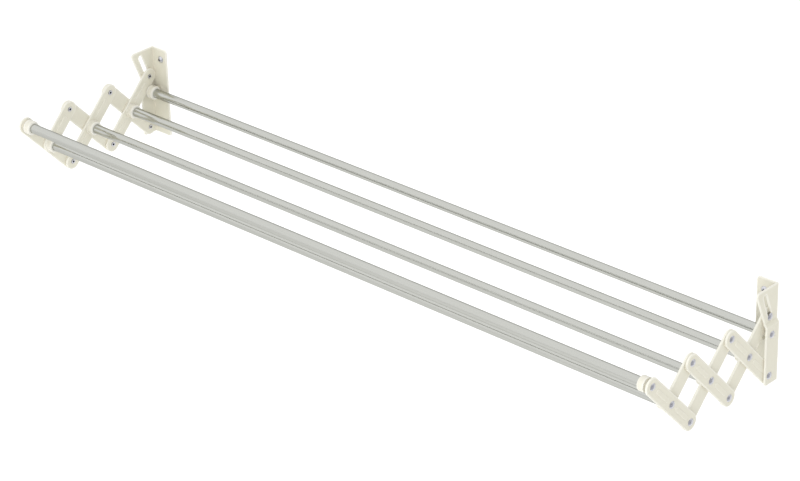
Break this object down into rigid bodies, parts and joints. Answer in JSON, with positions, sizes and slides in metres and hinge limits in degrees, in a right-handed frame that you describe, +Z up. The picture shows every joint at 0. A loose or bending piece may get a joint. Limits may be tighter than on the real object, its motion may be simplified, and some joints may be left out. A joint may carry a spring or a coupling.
{
  "type": "wall mounted extending drying rack",
  "caption": "Wall mounted laundry rack on riveted lazy tongs: thin round rods between two bent sheet brackets, pushed flat to the wall or pulled out into the room.",
  "frame": {"origin": "centre of the four wall screws, in the wall's plane", "axes": "+X along the wall to the right as seen from the room, +Y into the wall, +Z up; the rack reaches into the room along -Y"},
  "size_m": [1.0038, 0.2409, 0.1216],
  "materials": {
    "powder_coat": "satin ivory powder coat on pressed steel",
    "ivory_plastic": "smooth ivory moulded plastic",
    "rod_steel": "polished steel tube",
    "zinc_steel": "bright zinc plated steel"
  },
  "bodies": {
    "wall_frame": {"bracket_left": "powder_coat", "bracket_right": "powder_coat", "wall_screw_upper_left": "zinc_steel", "wall_screw_upper_right": "zinc_steel", "wall_screw_lower_left": "zinc_steel", "wall_screw_lower_right": "zinc_steel", "wall_pivot_rivet_left": "zinc_steel", "wall_pivot_rivet_right": "zinc_steel", "rod_1": "rod_steel", "rod_socket_1_left": "ivory_plastic", "rod_socket_1_right": "ivory_plastic", "rod_spacer_1_left": "ivory_plastic", "rod_spacer_1_right": "ivory_plastic", "rod_rivet_1_left": "zinc_steel", "rod_rivet_1_right": "zinc_steel"},
    "outer_arms_1": {"outer_arm_1_left": "powder_coat", "outer_arm_1_right": "powder_coat", "top_rivet_1_left": "zinc_steel", "top_rivet_1_right": "zinc_steel"},
    "inner_arms_1": {"inner_arm_1_left": "powder_coat", "inner_arm_1_right": "powder_coat", "slot_rivet_left": "zinc_steel", "slot_rivet_right": "zinc_steel", "rod_2": "rod_steel", "rod_socket_2_left": "ivory_plastic", "rod_socket_2_right": "ivory_plastic", "rod_rivet_2_left": "zinc_steel", "rod_rivet_2_right": "zinc_steel"},
    "inner_arms_2": {"inner_arm_2_left": "powder_coat", "inner_arm_2_right": "powder_coat", "rod_3": "rod_steel", "rod_socket_3_left": "ivory_plastic", "rod_socket_3_right": "ivory_plastic", "rod_rivet_3_left": "zinc_steel", "rod_rivet_3_right": "zinc_steel"},
    "outer_arms_2": {"outer_arm_2_left": "powder_coat", "outer_arm_2_right": "powder_coat", "top_rivet_2_left": "zinc_steel", "top_rivet_2_right": "zinc_steel", "bottom_rivet_1_left": "zinc_steel", "bottom_rivet_1_right": "zinc_steel"},
    "outer_arms_3": {"outer_arm_3_left": "powder_coat", "outer_arm_3_right": "powder_coat", "bottom_rivet_2_left": "zinc_steel", "bottom_rivet_2_right": "zinc_steel", "rod_5": "rod_steel", "rod_socket_5_left": "ivory_plastic", "rod_socket_5_right": "ivory_plastic", "rod_spacer_5_left": "ivory_plastic", "rod_spacer_5_right": "ivory_plastic", "rod_rivet_5_left": "zinc_steel", "rod_rivet_5_right": "zinc_steel"},
    "inner_half_arms": {"inner_half_arm_left": "powder_coat", "inner_half_arm_right": "powder_coat", "rod_4": "rod_steel", "rod_socket_4_left": "ivory_plastic", "rod_socket_4_right": "ivory_plastic", "rod_rivet_4_left": "zinc_steel", "rod_rivet_4_right": "zinc_steel"}
  },
  "joints": [
    {"name": "wall_pivot", "type": "hinge", "parent": "wall_frame", "child": "outer_arms_1", "pos_m": [0, -0.01503, -0.04946], "axis": [-1, 0, 0], "range_deg": [0, 22.79]},
    {"name": "fold", "type": "hinge", "parent": "outer_arms_1", "child": "inner_arms_1", "pos_m": [0, -0.04881, -0.01233], "axis": [1, 0, 0], "range_deg": [0, 58]},
    {"name": "top_pivot_1", "type": "hinge", "parent": "outer_arms_1", "child": "inner_arms_2", "pos_m": [0, -0.0826, 0.0248], "axis": [1, 0, 0], "range_deg": [0, 58]},
    {"name": "bottom_pivot_1", "type": "hinge", "parent": "inner_arms_1", "child": "outer_arms_2", "pos_m": [0, -0.08412, -0.04801], "axis": [-1, 0, 0], "range_deg": [0, 58]},
    {"name": "bottom_pivot_2", "type": "hinge", "parent": "inner_arms_2", "child": "outer_arms_3", "pos_m": [0, -0.15322, -0.04656], "axis": [-1, 0, 0], "range_deg": [0, 58]},
    {"name": "top_pivot_2", "type": "hinge", "parent": "outer_arms_2", "child": "inner_half_arms", "pos_m": [0, -0.15169, 0.02625], "axis": [1, 0, 0], "range_deg": [0, 58]}
  ],
  "couplings": [
    {"joint": "wall_pivot", "follows": "fold", "ratio": 0.3925},
    {"joint": "top_pivot_1", "follows": "fold", "ratio": 1},
    {"joint": "bottom_pivot_1", "follows": "fold", "ratio": 1},
    {"joint": "bottom_pivot_2", "follows": "fold", "ratio": 1},
    {"joint": "top_pivot_2", "follows": "fold", "ratio": 1}
  ]
}
